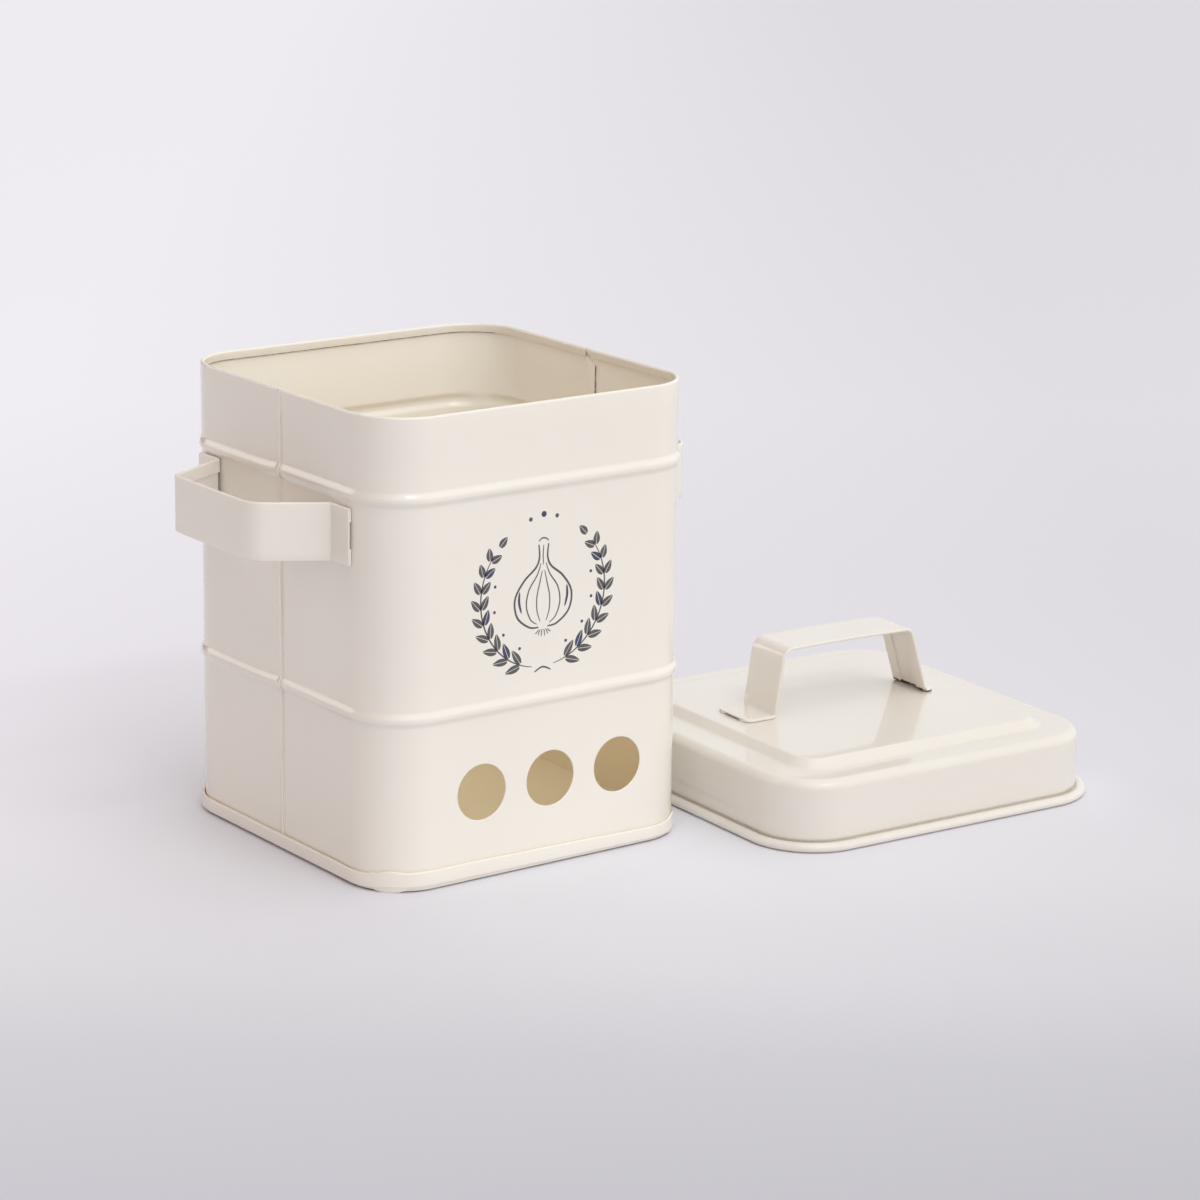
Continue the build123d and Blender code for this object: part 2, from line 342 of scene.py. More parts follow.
def coated(name, colour, low=None):
    """Cream powder coat: soft gloss, a faint orange peel and slow changes of tone.

    low is a share of the colour that is left near the floor of the canister, as painted warm shade.
    """
    material, nodes, links, shader, place = new_material(name)
    shader.inputs["IOR"].default_value = 1.5
    shader.inputs["Specular IOR Level"].default_value = 0.25
    shader.inputs["Coat Weight"].default_value = 1.0
    shader.inputs["Coat Roughness"].default_value = 0.03

    dark, light = ([min(c * share, 1) for c in colour] for share in COAT_TONES)
    tint = ramp(nodes, links, speckle(nodes, links, place, 14.0), ((0.3, dark), (0.7, light)))
    # painted warm shade: darker and yellower towards the floor of the canister
    if low:
        parts = nodes.new("ShaderNodeSeparateXYZ")
        links.new(place, parts.inputs["Vector"])
        rise = graded(nodes, links, parts.outputs["Z"], *WARM_SHADE_HEIGHTS)
        layer = nodes.new("ShaderNodeVectorMath")
        layer.operation = "MULTIPLY"
        links.new(tint, layer.inputs[0])
        links.new(ramp(nodes, links, rise, ((0.0, low), (1.0, (1, 1, 1)))), layer.inputs[1])
        tint = layer.outputs["Vector"]
    links.new(tint, shader.inputs["Base Color"])

    gloss = graded(nodes, links, speckle(nodes, links, place, 60.0), 0.0, 1.0,
                   COAT_ROUGHNESS - COAT_ROUGHNESS_SWING, COAT_ROUGHNESS + COAT_ROUGHNESS_SWING)
    links.new(gloss, shader.inputs["Roughness"])

    bump = nodes.new("ShaderNodeBump")
    bump.inputs["Strength"].default_value = 0.05
    bump.inputs["Distance"].default_value = 0.0002
    links.new(speckle(nodes, links, place, 420.0, 1.0), bump.inputs["Height"])
    links.new(bump.outputs["Normal"], shader.inputs["Normal"])
    return material


def dark_edge_and_shade():
    """Dark, mottled colour of uncoated sheet at cut edges, also used as painted shade under the hem
    and under a bend.
    """
    material, nodes, links, shader, place = new_material("cut_edge_and_shade")
    tint = ramp(nodes, links, speckle(nodes, links, place, 420.0, 3.0),
                ((0.48, (0.05, 0.042, 0.035)), (0.6, (0.42, 0.37, 0.29))))
    links.new(tint, shader.inputs["Base Color"])
    shader.inputs["Roughness"].default_value = 0.6
    return material


def ink(name, colour):
    """Matt printing ink, a little uneven."""
    material, nodes, links, shader, place = new_material(name)
    shader.inputs["Roughness"].default_value = 0.55
    dark, light = ([c * share for c in colour] for share in (0.85, 1.2))
    tint = ramp(nodes, links, speckle(nodes, links, place, 500.0), ((0.0, dark), (1.0, light)))
    links.new(tint, shader.inputs["Base Color"])
    return material


cream = coated("cream_coat", (0.90, 0.853, 0.773))
# inside coat: a brighter, warmer copy of the cream coat, painted bounce light inside the canister
inside_bounce_coat = coated("inside_bounce_coat", (1.0, 0.953, 0.868), low=(1.0, 0.93, 0.77))
# lid coat: a darker, greyer copy of the cream coat, painted shade that tones down the lid's
# brighter light
lid_shaded_coat = coated("lid_shaded_coat", (0.812, 0.768, 0.70))
# dark edge colour: uncoated sheet at cut edges, and painted shade in lines and gaps
cut_edge_and_shade = dark_edge_and_shade()


# ---------------------------------------------------------------- canister walls

def bead_bulge(height, drop, upper):
    """How far the beads push the wall out at this height; upper weakens the upper one."""
    bulge = 0.0
    for centre, share in zip(BEAD_HEIGHTS, (1.0, upper)):
        off = abs(height - centre + drop)
        bulge += share * BEAD_RISE * (1 - smooth(off, BEAD_CROWN, BEAD_HALF_WIDTH))
    return bulge


def wall_levels():
    """Heights of the rows of a wall: close together across the beads of either half."""
    levels = [SHEET]
    for centre in BEAD_HEIGHTS:
        levels += spread(levels[-1], centre - REAR_BEAD_DROP - BEAD_HALF_WIDTH, LEVEL_STEP)[1:]
        levels += spread(levels[-1], centre + BEAD_HALF_WIDTH, BEAD_STEP)[1:]
    return levels + spread(levels[-1], BODY_HEIGHT - HEM_THICKNESS / 2, LEVEL_STEP)[1:]


def wall_section(hem_bottom, lift, shift, drop, upper):
    """Closed section (offset, height) of the wall with its hemmed rim.

    lift raises the free edge of the sheet, shift steps the wall in below the hem.
    """
    radius = HEM_THICKNESS / 2
    roll_height = BODY_HEIGHT - radius
    step = BODY_HEIGHT - HEM_HEIGHT
    outer = []
    for z in wall_levels():
        below = 1 - smooth(z, step - 0.4, step + 0.1)
        outer.append((bead_bulge(z, drop, upper) + lift + shift * below, z))
    inner = [(x - SHEET, z) for x, z in reversed(outer)]
    roll = arc((-radius, roll_height), radius, 0, 180, HEM_ROLL_STEPS)[1:]
    turn = arc((-SHEET - HEM_TURN, roll_height), HEM_TURN, 180, 0, HEM_TURN_STEPS)[:-1]
    edge = SHEET / 2
    lip = arc((-SHEET - HEM_GAP - edge, hem_bottom + edge), edge, 180, 360, HEM_LIP_STEPS)
    return outer + [(x + lift, z) for x, z in roll + lip + turn] + inner


def tab_section(section, top):
    """The same points as the wall's section, with the hem folded away below the tab's top."""
    count = (len(section) - HEM_POINTS) // 2
    skin = [(x, min(z, top)) for x, z in section[:count]]
    rim = [(skin[-1][0] - SHEET * k / (HEM_POINTS + 1), top) for k in range(1, HEM_POINTS + 1)]
    return skin + rim + [(x - SHEET, z) for x, z in reversed(skin)]


def half_shell(turned):
    """One half of the walls, from its free edge on one side wall to the tab on the other."""
    first, last = (LAP_LEFT, LAP_RIGHT) if turned else (LAP_RIGHT, LAP_LEFT)
    corners = [(WALL_FACE, first), (WALL_FACE, -WALL_FACE),
               (-WALL_FACE, -WALL_FACE), (-WALL_FACE, -last)]
    extra = spread(0, 2 * LAP_LIFT_RUN, LAP_STEP) + [3.0, 4.0, HEM_NOTCH_LENGTH]
    extra += [-run for run in spread(0, LAP_SINK_RUN[0], LAP_STEP)]
    stations, total = rounded_path(corners, BODY_CORNER, extra)
    bm = bmesh.new()
    rings = []
    shaded_hem_lips = []
    for point, normal, run in stations:
        # painted shade: the hem's lip along the back wall is marked for the dark edge colour
        shaded_hem_lips.append(turned and abs(normal.y) > 0.5)
        hem_bottom = BODY_HEIGHT - HEM_HEIGHT
        hem_bottom += HEM_NOTCH_RISE * max(0.0, 1 - run / HEM_NOTCH_LENGTH)
        lift = LAP_LIFT * math.exp(-(run / LAP_LIFT_RUN) ** 2)
        shift = -LAP_SINK * smooth(run, total - LAP_SINK_RUN[0], total - LAP_SINK_RUN[1])
        upper, drop = 1.0, 0.0
        if turned:
            corner = 1 - abs(2 * max(abs(normal.x), abs(normal.y)) ** 2 - 1)
            upper = 1 - REAR_BEAD_FADE * smooth(corner, 0, 1)
            drop = REAR_BEAD_DROP * smooth(min(run, total - run), 0, REAR_BEAD_EASE)
        section = wall_section(hem_bottom, lift, shift, drop, upper)
        rings.append([(point.x + normal.x * x, point.y + normal.y * x, z) for x, z in section])
    # the tab goes on under the other half, its top cut back slantwise
    for step in spread(0, LAP_WIDTH, TAB_STEP):
        top = BODY_HEIGHT - HEM_HEIGHT + TAB_TOP - TAB_SLANT * step / LAP_WIDTH
        under = LAP_LIFT * (1 - math.exp(-(step / LAP_LIFT_RUN) ** 2))
        at_end = step == LAP_WIDTH
        ring = []
        for x, z in tab_section(section, top):
            ragged = TAB_RAGGED * noise.noise(Vector((z * 0.9, 0, 5))) if at_end else 0.0
            ring.append((-WALL_FACE - x + under, -last + step + ragged, z))
        rings.append(ring)
    loft(bm, rings)
    bm.faces.ensure_lookup_table()
    # the tab's cut end takes the dark edge colour: uncoated sheet, with painted shade for the gap
    # beside it
    bm.faces[-1].material_index = BARE_AND_SHADE
    # painted shade: the marked hem lips take the dark edge colour, for the dark line under the hem
    lip = len(wall_levels()) + HEM_ROLL_STEPS
    for i, lip_shaded in enumerate(shaded_hem_lips):
        for j in range(lip, lip + HEM_LIP_STEPS):
            bm.faces[i * len(rings[0]) + j].material_index = BARE_AND_SHADE if lip_shaded else COAT
    if turned:
        bmesh.ops.rotate(bm, verts=bm.verts, matrix=Matrix.Rotation(math.pi, 3, "Z"))
    return bm


def punched(piece):
    """Cuts the three vent holes, with a soft lip, through the front wall."""
    cutter = bmesh.new()
    wide = VENT_RADIUS + VENT_LIP
    for place in (-1, 0, 1):
        centre = Vector((VENT_SHIFT + place * VENT_PITCH, 0, VENT_HEIGHT))
        rings = []
        for depth, radius in ((-1.0, wide + 1.0), (0, wide), (VENT_LIP, VENT_RADIUS),
                              (SHEET - VENT_LIP, VENT_RADIUS), (SHEET, wide),
                              (SHEET + 1.0, wide + 1.0)):
            rings.append([centre + Vector((radius * math.cos(a), -WALL_FACE + depth,
                                           radius * math.sin(a)))
                          for a in spread(0, 2 * math.pi, 2 * math.pi / VENT_STEPS)[:-1]])
        loft(cutter, rings)
    bmesh.ops.recalc_face_normals(cutter, faces=cutter.faces)
    mesh = bpy.data.meshes.new("vent_cutter")
    cutter.to_mesh(mesh)
    cutter.free()
    tool = bpy.data.objects.new("vent_cutter", mesh)
    bpy.context.scene.collection.objects.link(tool)
    cut = piece.modifiers.new("vents", "BOOLEAN")
    cut.operation = "DIFFERENCE"
    cut.solver = "EXACT"
    cut.object = tool
    graph = bpy.context.evaluated_depsgraph_get()
    holed = bpy.data.meshes.new_from_object(piece.evaluated_get(graph))
    piece.modifiers.remove(cut)
    bpy.data.objects.remove(tool)
    old = piece.data
    piece.data = holed
    bpy.data.meshes.remove(old)
    holed.name = piece.name
    holed.set_sharp_from_angle(angle=SHARP_ANGLE)


punched(finish_piece("front_wall", half_shell(False), cream, "canister", "front_shell", bounce_lit=True))
finish_piece("rear_wall", half_shell(True), cream, "canister", "rear_shell", bounce_lit=True)


# ---------------------------------------------------------------- base pan

RING_PROUD = 1.3
RING_PROUD_LOSS = 0.6               # on the right side
RING_RISES = (1.85, 1.25, 1.2)      # the ring's lower edge: front, left side and other sides
RING_TOPS = (6.6, 6.0, 6.2)         # and its upper one
RING_TILTS = (0.25, 0.8)            # how much both sink from the middle of the front to its right
RING_CORNERS = (0.35, 0.9)          # how much both rise at the corners
RING_KINK = (62, 2.2, 0.45)         # a small peak of the seam: bearing, spread and height
SEAM_GAPS = (0.06, 0.32)            # between the ring and the wall: all round, and more at the left
FOOT_SPAN = math.radians(21)        # half the turn over which a corner foot touches the ground
PLATE_HEIGHT = 3.2                  # upper side of the floor plate
PLATE_EDGE = 6.0                    # inside the wall's face


def base_section(proud, rise, foot, top, gap):
    """Open section from under the floor plate, round the seam, to the plate's upper side."""
    half = (proud - gap) / 2
    low = [(-PLATE_EDGE, rise + 0.4), (-0.5, rise + 0.4), (-0.3, foot), (proud * 0.27, foot),
           (proud * 0.46, foot + (rise - foot) * 0.25), (proud * 0.5, rise)]
    low += arc((proud - 0.35, rise + 0.35), 0.35, -80, 0, 5)
    brim = [(proud + 0.06, (rise + top) / 2)]
    brim += arc((proud - half, top - half), half, 0, 165, 12)
    inside = [(gap, top - half - 0.2), (gap * 0.6, top - 2.2), (0.02, top - 2.4),
              (0.02, PLATE_HEIGHT), (-PLATE_EDGE, PLATE_HEIGHT)]
    return low + brim + inside


def base_pan():
    """Floor plate and the double seam round it, which stands on a foot at each corner."""
    bm = bmesh.new()
    rings = []
    outline = rounded_square(WALL_FACE, BODY_CORNER, 60, 48)
    for index, point in enumerate(outline):
        before, after = outline[index - 1], outline[(index + 1) % len(outline)]
        way = (after - before).normalized()
        normal = Vector((way.y, -way.x))
        front_side, left_side = max(0.0, -normal.y) ** 2, max(0.0, -normal.x) ** 2
        sides = (front_side, left_side, 1 - front_side - left_side)
        tilt = front_side * min(max(point.x / (WALL_FACE - BODY_CORNER), -1), 1)
        turned = (smooth(abs(normal.x), 0.707, 0.93), smooth(abs(normal.y), 0.707, 0.93))
        diagonal = max(0.0, 1 - turned[0] - turned[1])
        rise = sum(side * value for side, value in zip(sides, RING_RISES))
        rise += RING_CORNERS[0] * diagonal - RING_TILTS[0] * tilt
        top = sum(side * value for side, value in zip(sides, RING_TOPS))
        top += RING_CORNERS[1] * diagonal - RING_TILTS[1] * tilt
        bearing = math.degrees(math.atan2(-normal.x, -normal.y))
        top += RING_KINK[2] * math.exp(-((bearing - RING_KINK[0]) / RING_KINK[1]) ** 2)
        off = abs(math.atan2(abs(normal.y), abs(normal.x)) - math.pi / 4)
        foot = rise * min(1.0, (off / FOOT_SPAN) ** 3)
        place = Vector((point.x, point.y, 3.0))
        top += 0.25 * noise.noise(place * 0.07) + 0.12 * noise.noise(place * 0.25)
        wave = 0.1 * noise.noise(place * 0.1)
        gap = SEAM_GAPS[0] + SEAM_GAPS[1] * left_side
        gap *= 0.75 + 0.5 * noise.noise(place * 0.12)
        proud = RING_PROUD - RING_PROUD_LOSS * max(0.0, normal.x) ** 2
        ring = []
        for x, z in base_section(proud, rise, foot, top, gap):
            out = x + (wave if x > 0.1 and z > 1.5 else 0.0)
            ring.append((point.x + normal.x * out, point.y + normal.y * out, z))
        rings.append(ring)
    rows = loft(bm, rings, close_rings=True, close_points=False)
    bm.faces.new([row[0] for row in rows])
    bm.faces.new([row[-1] for row in reversed(rows)])
    return bm


finish_piece("base", base_pan(), cream, "canister", "base_pan", bounce_lit=True)


# ---------------------------------------------------------------- strap handles

def strap_section(hem_low, hem_high, narrow):
    """Closed section (across, thickness) of the folded strap, hems on the side at zero."""
    half = STRAP_WIDTH / 2 - narrow
    fold, bevel = STRAP_SHEET, STRAP_HEM_BEVEL
    outer = [(w, 2 * fold) for w in spread(-half + fold, half - fold, 3.0)]
    right = arc((half - fold, fold), fold, 90, -90, STRAP_FOLD_STEPS)[1:]
    left = arc((-half + fold, fold), fold, 270, 90, STRAP_FOLD_STEPS)[:-1]
    high, low = STRAP_WIDTH / 2 - hem_high, -STRAP_WIDTH / 2 + hem_low
    inner = [(high + bevel, 0), (high, bevel), (high, fold), (high - 0.4, fold),
             (low + 0.4, fold), (low, fold), (low, bevel), (low - bevel, 0)]
    return outer + right + inner + left


def strap_path(corners, bends, corner, bow):
    """Stations (point, direction) of the hem side of a bowed strap, from end to end."""
    corners = [Vector(c) for c in corners]
    radii = [None, FOOT_BEND, bends[0], bends[1], FOOT_BEND, None]
    stations = []
    for run in STRAP_END_RUNS:
        stations.append((corners[0] + Vector((run * corner, 0)), Vector((1, 0))))
    start = stations[-1][0]
    for i in range(1, 5):
        way_in = (corners[i] - corners[i - 1]).normalized()
        way_out = (corners[i + 1] - corners[i]).normalized()
        turn = way_in.angle_signed(way_out)
        cut = radii[i] * math.tan(abs(turn) / 2)
        first = corners[i] - way_in * cut
        for share in spread(0, 1, STRAP_STEP / (first - start).length)[:-1]:
            stations.append((start.lerp(first, share), way_in))
        normal = Vector((-way_in.y, way_in.x)) * (-1 if turn < 0 else 1)
        centre = first - normal * radii[i]
        for share in spread(0, 1, 1 / STRAP_BEND_STEPS)[:-1]:
            spin = Matrix.Rotation(-turn * share, 2)
            stations.append((centre + spin @ (normal * radii[i]), spin @ way_in))
        start = corners[i] + way_out * cut
    last = corners[5] - Vector((corner, 0))
    for share in spread(0, 1, STRAP_STEP / (last - start).length)[:-1]:
        stations.append((start.lerp(last, share), way_out))
    for run in reversed(STRAP_END_RUNS):
        stations.append((corners[5] - Vector((run * corner, 0)), way_out))
    middle, half = (corners[3].x + corners[2].x) / 2, (corners[3].x - corners[2].x) / 2
    placed = []
    for point, way in stations:
        arch = bow * max(0.0, 1 - ((point.x - middle) / half) ** 2)
        placed.append((point + Vector((0, arch)), way))
    return placed


def strap(place, spans, runs, reach, feet, bends, corner, bow=0.3, hems=(5.3, 5.3), skew=0.0,
          shade_bend_height=0.0):
    """A folded strap in place; place is its origin and its own along, across and away axes.

    spans are the foot bends' distances from the origin, runs those of the outer bends, feet
    the lengths of the feet and bends the radii of the outer bends. skew lifts the strap's last
    foot along its width. Under that foot's bend, faces below the given height take the dark
    edge colour, painted shade in the gap under the bend.
    """
    origin, along, across, away = place
    path = strap_path([(-spans[0] - feet[0], 0), (-spans[0], 0), (-runs[0], reach),
                       (runs[1], reach), (spans[1], 0), (spans[1] + feet[1], 0)],
                      bends, corner, bow)
    low, high = path[0][0].x, path[-1][0].x
    rings = []
    for point, way in path:
        normal = Vector((-way.y, way.x))
        from_end = min(point.x - low, high - point.x)
        narrow = 0.0
        if from_end < corner:
            narrow = corner - math.sqrt(max(corner ** 2 - (corner - from_end) ** 2, 0.0))
        aside = skew * smooth(point.x, runs[1], spans[1])
        ring = []
        for w, t in strap_section(*hems, narrow):
            flat = point + normal * t
            ring.append(origin + along * flat.x + away * flat.y + across * (w + aside))
        rings.append(ring)
    bm = bmesh.new()
    loft(bm, rings)
    bmesh.ops.recalc_face_normals(bm, faces=bm.faces)
    # painted shade: the underside of the last foot's bend takes the dark edge colour
    for face in bm.faces:
        spot = face.calc_center_median() / MM - origin
        under_bend = spot.dot(along) > spans[1] - 3.0 and spot.dot(away) < shade_bend_height
        if under_bend and face.normal.dot(along) < 0.5 and face.normal.dot(away) < 0.1:
            face.material_index = BARE_AND_SHADE
    return bm


left = strap((Vector((-WALL_FACE - LEFT_FOOT_SINK, STRAP_SHIFT, STRAP_HEIGHT)),
              Y_AXIS, Z_AXIS, -X_AXIS),
             spans=(36.6, 34.8), runs=(22.8, 26.0), reach=22.6, feet=(11.2, 12.9),
             bends=(8.5, 2.0), corner=0.8, hems=(6.2, 4.8), skew=0.9)
finish_piece("left_strap", left, cream, "canister", "left_handle")
right = strap((Vector((WALL_FACE, -STRAP_SHIFT, STRAP_HEIGHT)), -Y_AXIS, Z_AXIS, X_AXIS),
              spans=(34.8, 34.8), runs=(22.8, 22.8), reach=22.9, feet=(12.9, 12.9),
              bends=(6.0, 6.0), corner=0.8)
finish_piece("right_strap", right, cream, "canister", "right_handle")


# ---------------------------------------------------------------- lid

lid_low, lid_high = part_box("lid_pan")
LID_CENTRE = (lid_low + lid_high) / 2 / MM


def level_axes(turn):
    """The X and Y axes, turned about Z."""
    return (Vector((math.cos(turn), math.sin(turn), 0)),
            Vector((-math.sin(turn), math.cos(turn), 0)))


lid_along, lid_across = level_axes(LID_TURN)
handle_along, handle_across = level_axes(LID_HANDLE_TURN)


def lid_profile():
    """Outer skin of the pan (inset, height, plan radius) from the crease above the rim."""
    shoulder, panel, bend = LID_SHOULDER, LID_PANEL, LID_SHOULDER_RADIUS
    points = [(x, z, LID_CORNER) for x, z in LID_GROOVE]
    points += [(0.0, z, LID_CORNER) for z in spread(4.9, shoulder - bend, 2.0)]
    for x, z in arc((bend, shoulder - bend), bend, 180, 90, 14)[1:]:
        points.append((x, z, LID_CORNER - x))
    foot, edge = LID_LEDGE - PANEL_FOOT, LID_LEDGE + PANEL_EDGE
    outer_radius, inner_radius = LID_CORNER - bend, PANEL_CORNER + PANEL_FOOT
    for x in spread(bend, foot, 0.8)[1:]:
        share = (x - bend) / (foot - bend)
        points.append((x, shoulder, outer_radius + (inner_radius - outer_radius) * share))
    foot_bend = arc((foot, shoulder + PANEL_FOOT_RADIUS), PANEL_FOOT_RADIUS, -90, -PANEL_SLOPE, 8)
    edge_bend = arc((edge, panel - PANEL_EDGE_RADIUS), PANEL_EDGE_RADIUS, 180 - PANEL_SLOPE, 90, 10)
    for x, z in foot_bend[1:] + edge_bend:
        points.append((x, z, inner_radius - (x - foot)))
    for x in spread(edge, LID_HALF - 2, 3.0)[1:]:
        share = (LID_HALF - x) / (LID_HALF - edge)
        points.append((x, panel + PANEL_CROWN * (1 - share ** 2),
                       (inner_radius - edge + foot) * share))
    return points


def lid_pan():
    """Pressed pan: rolled rim, wall, shoulder, ledge and the raised, barely crowned panel."""
    skin = lid_profile()
    inner = []
    for i, (x, z, radius) in enumerate(skin):
        before, after = skin[max(i - 1, 0)], skin[min(i + 1, len(skin) - 1)]
        way = Vector((after[0] - before[0], after[1] - before[1])).normalized()
        inner.append((x + way.y * SHEET, z - way.x * SHEET, radius - way.y * SHEET))
    squeeze = LID_ROLL_CENTRE[1] / LID_ROLL_RADIUS
    roll = [(-x, z, LID_CORNER + x) for x, z in
            arc(LID_ROLL_CENTRE, LID_ROLL_RADIUS, 180, 360 + LID_ROLL_END, 28, squeeze)]
    middle = LID_CENTRE.xy.to_3d()
    rings = []
    for x, z, radius in list(reversed(inner[1:])) + roll + skin:
        half = LID_HALF - x
        ring = rounded_square(half, min(radius, half * 0.98), 24, 18)
        rings.append([middle + lid_along * p.x + lid_across * p.y + Z_AXIS * z for p in ring])
    bm = bmesh.new()
    loft(bm, rings)
    return bm


finish_piece("lid_shell", lid_pan(), lid_shaded_coat, "lid", "lid_pan")

handle_origin = LID_CENTRE.xy.to_3d() + Z_AXIS * (LID_PANEL + LID_HANDLE_GAP)
handle_origin += lid_along * LID_HANDLE_SHIFT[0] + lid_across * LID_HANDLE_SHIFT[1]
lid_strap = strap((handle_origin, handle_along, handle_across, Z_AXIS),
                  spans=(34.1, 33.3), runs=(30.6, 25.6), reach=24.6, feet=(13.0, 4.6),
                  bends=(4.0, 2.5), corner=3.0, bow=0.4, shade_bend_height=1.9)
finish_piece("lid_strap", lid_strap, lid_shaded_coat, "lid", "lid_handle")


# ---------------------------------------------------------------- print on the front wall

PRINT_CENTRE = (-1.2, 98.0)
PRINT_PROUD = 0.03
PRINT_SINK = 0.05
WREATH_RADIUS = 25.5
WREATH_DROP = 1.5
LEAF_WIDTH = 2.5
LEAF_LEAN = 0.62
MIDRIB = 0.09
# one side of the bulb, from the neck down: points, width and taper of each line
BULB_LINES = (
    (((2.0, 15.5), (1.7, 11.0), (3.2, 7.6), (8.0, 3.6), (11.6, -2.2), (10.6, -8.6),
      (5.8, -12.6), (1.9, -13.2)), 0.75, 0.35),
    (((1.0, 9.0), (2.6, 5.0), (5.9, 0.2), (6.9, -5.2), (5.2, -10.0), (2.6, -12.0)), 0.5, 0.5),
    (((0.5, 6.4), (1.5, 2.2), (2.6, -2.6), (2.5, -7.4), (1.2, -11.2)), 0.45, 0.5),
)
BULB_SHADE = ((9.7, 0.2), (9.9, -3.4), (8.9, -7.4))
NECK_TOP = ((-2.0, 16.6), (-0.6, 17.6), (0.9, 17.4), (2.1, 16.5))
NECK_LINE = ((0.0, 15.2), (-0.2, 11.6), (0.0, 8.4))
ROOTS = ((0.7, 16.4), (2.0, 16.0), (3.2, 15.2))
WREATH_KNOT = ((-3.4, -28.6), (0.0, -27.2), (3.4, -28.6))


def ink_prism(bm, outline):
    """A thin slab of ink with this outline, in print coordinates, on the front wall."""
    area = sum(a[0] * b[1] - b[0] * a[1] for a, b in zip(outline, outline[1:] + outline[:1]))
    points = outline if area > 0 else list(reversed(outline))
    loft(bm, [[Vector((PRINT_CENTRE[0] + u, -WALL_FACE + y, PRINT_CENTRE[1] + v))
               for u, v in points] for y in (PRINT_SINK, -PRINT_PROUD)])


def curve_points(handles, steps):
    """Points of a smooth line through the handles."""
    points = []
    ends = [handles[0]] + list(handles) + [handles[-1]]
    for quad in zip(ends, ends[1:], ends[2:], ends[3:]):
        for k in range(steps):
            t = k / steps
            weights = ((-t + 2 * t * t - t ** 3) / 2, (2 - 5 * t * t + 3 * t ** 3) / 2,
                       (t + 4 * t * t - 3 * t ** 3) / 2, (t ** 3 - t * t) / 2)
            points.append(tuple(sum(w * p[i] for w, p in zip(weights, quad)) for i in (0, 1)))
    return points + [tuple(handles[-1])]


def ink_line(bm, handles, width, taper=0.5, steps=10):
    """A pen stroke through the handles, thinner at its ends."""
    points = [Vector(p) for p in curve_points(handles, steps)]
    left, right = [], []
    for i, point in enumerate(points):
        way = (points[min(i + 1, len(points) - 1)] - points[max(i - 1, 0)]).normalized()
        share = i / (len(points) - 1)
        half = width / 2 * (1 - taper * abs(2 * share - 1) ** 3)
        aside = Vector((-way.y, way.x)) * half
        left.append(tuple(point + aside))
        right.append(tuple(point - aside))
    ink_prism(bm, left + list(reversed(right)))


def ink_leaf(bm, root, angle, length):
    """A leaf in two halves, with the coat showing along its midrib."""
    way = Vector((math.cos(angle), math.sin(angle)))
    aside = Vector((-way.y, way.x))
    for hand in (-1, 1):
        rim, rib = [], []
        for share in spread(0.06, 0.97, 0.07):
            bulge = LEAF_WIDTH / 2 * math.sin(math.pi * share ** 0.8) ** 0.9
            point = Vector(root) + way * length * share
            rim.append(tuple(point + aside * hand * (bulge + 0.1)))
            rib.append(tuple(point + aside * hand * MIDRIB))
        ink_prism(bm, rim + list(reversed(rib)))


def ink_dot(bm, centre, radius):
    """A round spot of ink."""
    ink_prism(bm, [(centre[0] + radius * math.cos(a), centre[1] + radius * math.sin(a))
                   for a in spread(0, 2 * math.pi, math.pi / 9)[:-1]])


def mirrored(points, hand):
    """The points, on the other side where hand is -1."""
    return [(hand * u, v) for u, v in points]


def on_wreath(degrees, radius=WREATH_RADIUS):
    """Point of the right-hand sprig in this direction from the middle of the wreath."""
    angle = math.radians(degrees)
    return radius * math.cos(angle), radius * math.sin(angle) - WREATH_DROP


def draw_bulb(dark, navy):
    """A bulb of garlic: its sides, the cloves' lines, the neck and the roots."""
    for hand in (-1, 1):
        for points, width, taper in BULB_LINES:
            ink_line(dark, mirrored(points, hand), width, taper)
        for reach, drop in ROOTS:
            root = [(reach * 0.55, -14.0), (reach * 0.8, -14.9), (reach, -drop)]
            ink_line(dark, mirrored(root, hand), 0.36)
        ink_line(navy, mirrored(BULB_SHADE, hand), 0.9, 0.9)
    ink_line(dark, NECK_TOP, 0.5)
    ink_line(dark, NECK_LINE, 0.4)


def draw_sprigs(dark, navy):
    """Two leafy sprigs with dots, open at the top."""
    for hand in (-1, 1):
        stem = [on_wreath(degrees) for degrees in spread(-80, 38, 9)]
        ink_line(dark, mirrored(stem, hand), 0.55, 0.6, 4)
        for index, degrees in enumerate(spread(-70, 44, 12.8)):
            forward = math.radians(degrees) + math.pi / 2
            for lean in (-LEAF_LEAN, LEAF_LEAN) if index < 9 else (0.0,):
                heading = forward + lean
                start = Vector(on_wreath(degrees))
                start += Vector((math.cos(heading), math.sin(heading))) * 0.5
                ink_leaf(navy if (index % 3 == 1 and lean > 0) else dark,
                         (hand * start.x, start.y),
                         heading if hand > 0 else math.pi - heading, 6.6 - 0.22 * index)
        for degrees in (-62, -37, -11, 14):
            ink_dot(navy, mirrored([on_wreath(degrees, WREATH_RADIUS - 5.2)], hand)[0], 0.55)
        ink_dot(dark, (hand * 5.4, 24.6), 0.75)
    ink_dot(navy, (0.0, 25.8), 1.05)
    ink_line(dark, WREATH_KNOT, 0.6)


dark_lines, navy_accents = bmesh.new(), bmesh.new()
draw_bulb(dark_lines, navy_accents)
draw_sprigs(dark_lines, navy_accents)
finish_piece("print_lines", dark_lines, ink("dark_ink", (0.10, 0.096, 0.10)), "canister")
finish_piece("print_accents", navy_accents, ink("navy_ink", (0.06, 0.062, 0.12)), "canister")


# ---------------------------------------------------------------- floor

